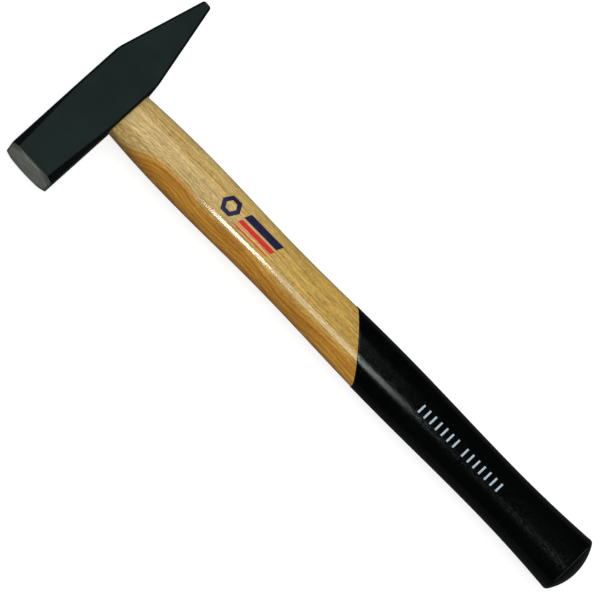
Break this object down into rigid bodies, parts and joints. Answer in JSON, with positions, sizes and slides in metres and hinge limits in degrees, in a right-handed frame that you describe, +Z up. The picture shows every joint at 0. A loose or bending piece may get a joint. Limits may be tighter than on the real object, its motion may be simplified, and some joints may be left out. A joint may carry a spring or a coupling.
{
  "type": "cross-pein hammer",
  "caption": "Fitter's cross-pein hammer: square black steel head with octagonal face and wedge-shaped pein on an oval hickory handle with a black dipped grip.",
  "frame": {"origin": "on the resting cheek of the head, directly below the centre of the eye", "axes": "+X along the handle towards the grip, +Y towards the pein, -Y towards the striking face, +Z up through the upper cheek"},
  "size_m": [0.3347, 0.1183, 0.027],
  "materials": {
    "head_paint": "satin black lacquer over forged steel, with the striking face ground bare",
    "face_steel": "ground bare steel with fine parallel scratches",
    "hickory": "straight-grained hickory under clear gloss lacquer",
    "wedge_wood": "sawn hardwood end grain",
    "wedge_steel": "plain mild steel, hammered flush",
    "grip_black": "thick glossy black dip coat that shows the wood grain faintly",
    "print_navy": "printed ink under the lacquer",
    "print_red": "printed ink under the lacquer",
    "print_white": "printed ink on the dip coat"
  },
  "bodies": {
    "root": {"head": "head_paint", "handle": "hickory", "kerf_wedge": "wedge_wood", "steel_wedge_face_end": "wedge_steel", "steel_wedge_pein_end": "wedge_steel", "grip_coating": "grip_black"}
  },
  "joints": []
}
